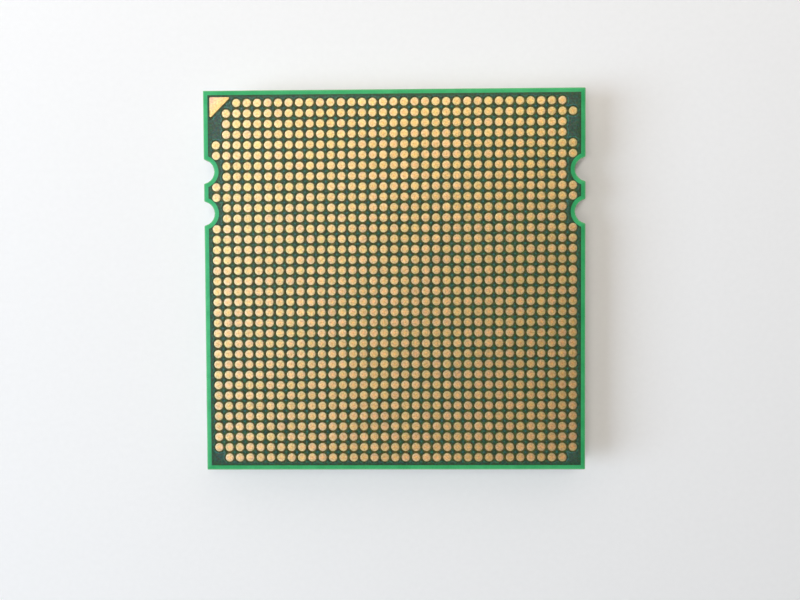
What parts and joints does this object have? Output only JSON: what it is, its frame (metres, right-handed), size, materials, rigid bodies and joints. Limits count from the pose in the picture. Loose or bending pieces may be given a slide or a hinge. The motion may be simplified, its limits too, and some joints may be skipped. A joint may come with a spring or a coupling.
{
  "type": "cpu processor",
  "caption": "Square land-grid-array processor package, resting on its nickel-plated lid with the gold contact lands facing up, keying notches in two edges and a pin-one corner triangle.",
  "frame": {"origin": "on the package's axis, on the plane of the lid's flat outer face, which the part rests on", "axes": "+Z out of the contact face, away from the lid; +X and +Y along the package edges; the pin-one corner is at -X, +Y and the keying notches are in the -X and +X edges"},
  "size_m": [0.04, 0.04, 0.0045],
  "materials": {
    "lid_nickel": "satin",
    "adhesive_silicone": "matte",
    "thermal_solder": "satin",
    "silicon": "polished",
    "bump_solder": "satin",
    "underfill_epoxy": "satin",
    "solder_mask": "satin",
    "solder_mask_over_copper": "satin",
    "buildup_resin": "matte",
    "copper_foil": "satin",
    "core_laminate": "matte",
    "land_gold": "satin",
    "marker_gold": "satin",
    "capacitor": "satin"
  },
  "bodies": {
    "root": {"heat_spreader_lid": "lid_nickel", "lid_adhesive_bead": "adhesive_silicone", "thermal_interface_solder": "thermal_solder", "silicon_die": "silicon", "solder_bump_layer": "bump_solder", "die_underfill": "underfill_epoxy", "solder_mask_die_side": "solder_mask", "buildup_resin_die_side": "buildup_resin", "power_plane_copper": "copper_foil", "board_core": "core_laminate", "ground_plane_copper": "copper_foil", "buildup_resin_land_side": "buildup_resin", "solder_mask_land_side": "solder_mask_over_copper", "land_grid": "land_gold", "pin_one_marker_land_side": "marker_gold", "pin_one_marker_die_side": "marker_gold", "decoupling_capacitor_01": "capacitor", "decoupling_capacitor_02": "capacitor", "decoupling_capacitor_03": "capacitor", "decoupling_capacitor_04": "capacitor", "decoupling_capacitor_05": "capacitor", "decoupling_capacitor_06": "capacitor", "decoupling_capacitor_07": "capacitor", "decoupling_capacitor_08": "capacitor", "decoupling_capacitor_09": "capacitor", "decoupling_capacitor_10": "capacitor", "decoupling_capacitor_11": "capacitor", "decoupling_capacitor_12": "capacitor", "decoupling_capacitor_13": "capacitor", "decoupling_capacitor_14": "capacitor", "decoupling_capacitor_15": "capacitor", "decoupling_capacitor_16": "capacitor", "decoupling_capacitor_17": "capacitor", "decoupling_capacitor_18": "capacitor", "decoupling_capacitor_19": "capacitor", "decoupling_capacitor_20": "capacitor", "decoupling_capacitor_21": "capacitor", "decoupling_capacitor_22": "capacitor", "decoupling_capacitor_23": "capacitor", "decoupling_capacitor_24": "capacitor", "decoupling_capacitor_25": "capacitor", "decoupling_capacitor_26": "capacitor", "decoupling_capacitor_27": "capacitor", "decoupling_capacitor_28": "capacitor", "decoupling_capacitor_29": "capacitor", "decoupling_capacitor_30": "capacitor", "decoupling_capacitor_31": "capacitor", "decoupling_capacitor_32": "capacitor"}
  },
  "joints": []
}
